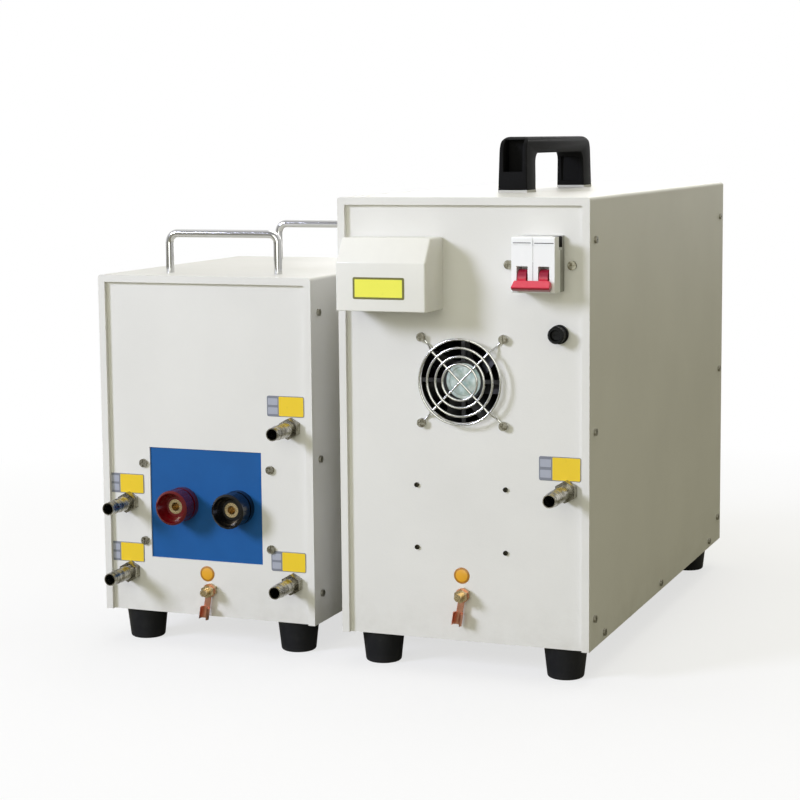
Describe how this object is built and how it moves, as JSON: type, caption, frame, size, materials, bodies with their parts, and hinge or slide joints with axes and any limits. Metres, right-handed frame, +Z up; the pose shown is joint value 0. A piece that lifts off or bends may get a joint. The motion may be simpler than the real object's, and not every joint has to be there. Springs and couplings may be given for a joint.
{
  "type": "induction heating machine",
  "caption": "Induction heating set: a tall power unit and a low heating head, sheet cabinets on rubber feet, with fan, breaker, fuse, hose barbs and binding posts.",
  "frame": {"origin": "on the floor under the middle of the box around the whole set", "axes": "+X to the right seen from the connection side, with the power unit at +X, +Y from the connection side to the control side, +Z up"},
  "size_m": [0.4564, 0.59, 0.447],
  "materials": {
    "cabinet_coat": "semi-gloss powder coat",
    "foot_rubber": "matte",
    "handle_plastic": "fine grained",
    "pad_plastic": "matte",
    "bright_steel": "plated",
    "ivory_plastic": "semi-gloss",
    "black_plastic": "satin",
    "breaker_plastic": "satin",
    "zinc_steel": "zinc plated",
    "toggle_red": "gloss",
    "fuse_glass": "clear, with metal ends",
    "fan_plastic": "satin",
    "guard_wire": "plated wire",
    "filter_case": "tin plated",
    "plate_aluminium": "milled",
    "module_plastic": "moulded",
    "capacitor_sleeve": "shrunk sleeve",
    "board_green": "solder mask",
    "display_red": "tinted",
    "knob_plastic": "satin",
    "button_green": "gloss",
    "button_red": "gloss",
    "stud_brass": "turned",
    "barb_nickel": "nickel plated brass",
    "copper": "bare copper",
    "handle_chrome": "polished",
    "board_blue": "satin sheet",
    "post_red": "gloss",
    "post_black": "gloss",
    "core_ferrite": "sintered, matte",
    "insulator_sheet": "laminate",
    "resonant_case": "gloss"
  },
  "bodies": {
    "cabinets": {"main_cover": "cabinet_coat", "main_base_tray": "cabinet_coat", "main_connection_panel": "cabinet_coat", "main_control_panel": "cabinet_coat", "rubber_feet": "foot_rubber", "carry_handle": "handle_plastic", "carry_handle_pads": "pad_plastic", "carry_handle_screws": "bright_steel", "terminal_cover": "ivory_plastic", "terminal_block": "black_plastic", "breaker_body": "breaker_plastic", "breaker_bracket": "zinc_steel", "fuse_holder": "black_plastic", "fan_frame": "fan_plastic", "fan_guard": "guard_wire", "panel_screws": "zinc_steel", "mains_filter": "filter_case", "cold_plate": "plate_aluminium", "transistor_modules": "module_plastic", "filter_capacitors": "capacitor_sleeve", "control_board": "board_green", "display_bezel": "black_plastic", "display_window": "display_red", "button_housings": "black_plastic", "rocker_housing": "black_plastic", "pedal_socket": "bright_steel", "output_studs": "stud_brass", "cover_screws": "zinc_steel", "foot_screws": "zinc_steel", "hose_barbs": "barb_nickel", "earth_studs": "stud_brass", "earth_lugs": "copper", "head_cover": "cabinet_coat", "head_base_tray": "cabinet_coat", "head_connection_panel": "cabinet_coat", "head_output_panel": "cabinet_coat", "front_lifting_handle": "handle_chrome", "rear_lifting_handle": "handle_chrome", "insulating_board": "board_blue", "red_post_base": "post_red", "black_post_base": "post_black", "post_studs": "stud_brass", "transformer_core": "core_ferrite", "transformer_windings": "copper", "coil_blocks": "copper", "coil_insulator": "insulator_sheet", "resonant_capacitors": "resonant_case"},
    "toggle": {"breaker_toggle": "toggle_red"},
    "rotor": {"fan_rotor": "fan_plastic"},
    "fuse_drawer": {"fuse_carrier": "zinc_steel", "fuse_link": "fuse_glass"},
    "fuse_knob": {"fuse_cap": "black_plastic"},
    "red_washer": {"red_post_washer": "zinc_steel"},
    "red_cap": {"red_post_cap": "post_red"},
    "black_washer": {"black_post_washer": "zinc_steel"},
    "black_cap": {"black_post_cap": "post_black"},
    "knob": {"power_knob": "knob_plastic"},
    "start": {"start_button": "button_green"},
    "stop": {"stop_button": "button_red"},
    "rocker": {"mode_rocker": "black_plastic"}
  },
  "joints": [
    {"name": "breaker_switch", "type": "hinge", "parent": "cabinets", "child": "toggle", "pos_m": [0.18575, -0.264, 0.3347], "axis": [-1, 0, 0], "range_deg": [0, 50]},
    {"name": "fan_spin", "type": "hinge", "parent": "cabinets", "child": "rotor", "pos_m": [0.11725, -0.2303, 0.2475], "axis": [0, 1, 0], "continuous": true},
    {"name": "fuse_pull", "type": "slide", "parent": "cabinets", "child": "fuse_drawer", "axis": [0, -1, 0], "range_m": [0, 0.04]},
    {"name": "fuse_turn", "type": "hinge", "parent": "fuse_drawer", "child": "fuse_knob", "pos_m": [0.20005, -0.251, 0.2885], "axis": [0, -1, 0], "range_deg": [0, 60]},
    {"name": "red_post_travel", "type": "slide", "parent": "cabinets", "child": "red_washer", "axis": [0, -1, 0], "range_m": [0, 0.0046]},
    {"name": "red_post_turn", "type": "hinge", "parent": "red_washer", "child": "red_cap", "pos_m": [-0.1494, -0.2493, 0.1275], "axis": [0, -1, 0], "range_deg": [0, 1080]},
    {"name": "black_post_travel", "type": "slide", "parent": "cabinets", "child": "black_washer", "axis": [0, -1, 0], "range_m": [0, 0.0046]},
    {"name": "black_post_turn", "type": "hinge", "parent": "black_washer", "child": "black_cap", "pos_m": [-0.0949, -0.2493, 0.1275], "axis": [0, -1, 0], "range_deg": [0, 1080]},
    {"name": "power_knob_turn", "type": "hinge", "parent": "cabinets", "child": "knob", "pos_m": [0.11725, 0.253, 0.2435], "axis": [0, -1, 0], "range_deg": [-150, 150]},
    {"name": "start_press", "type": "slide", "parent": "cabinets", "child": "start", "axis": [0, -1, 0], "range_m": [0, 0.003], "stiffness_N_per_m": 400, "springref_m": -0.002},
    {"name": "stop_press", "type": "slide", "parent": "cabinets", "child": "stop", "axis": [0, -1, 0], "range_m": [0, 0.003], "stiffness_N_per_m": 400, "springref_m": -0.002},
    {"name": "mode_rock", "type": "hinge", "parent": "cabinets", "child": "rocker", "pos_m": [0.11725, 0.242, 0.1785], "axis": [0, 0, 1], "range_deg": [0, 18]}
  ],
  "couplings": [
    {"joint": "red_post_travel", "follows": "red_post_turn", "m_per_rad": 0.00023873},
    {"joint": "black_post_travel", "follows": "black_post_turn", "m_per_rad": 0.00023873}
  ]
}
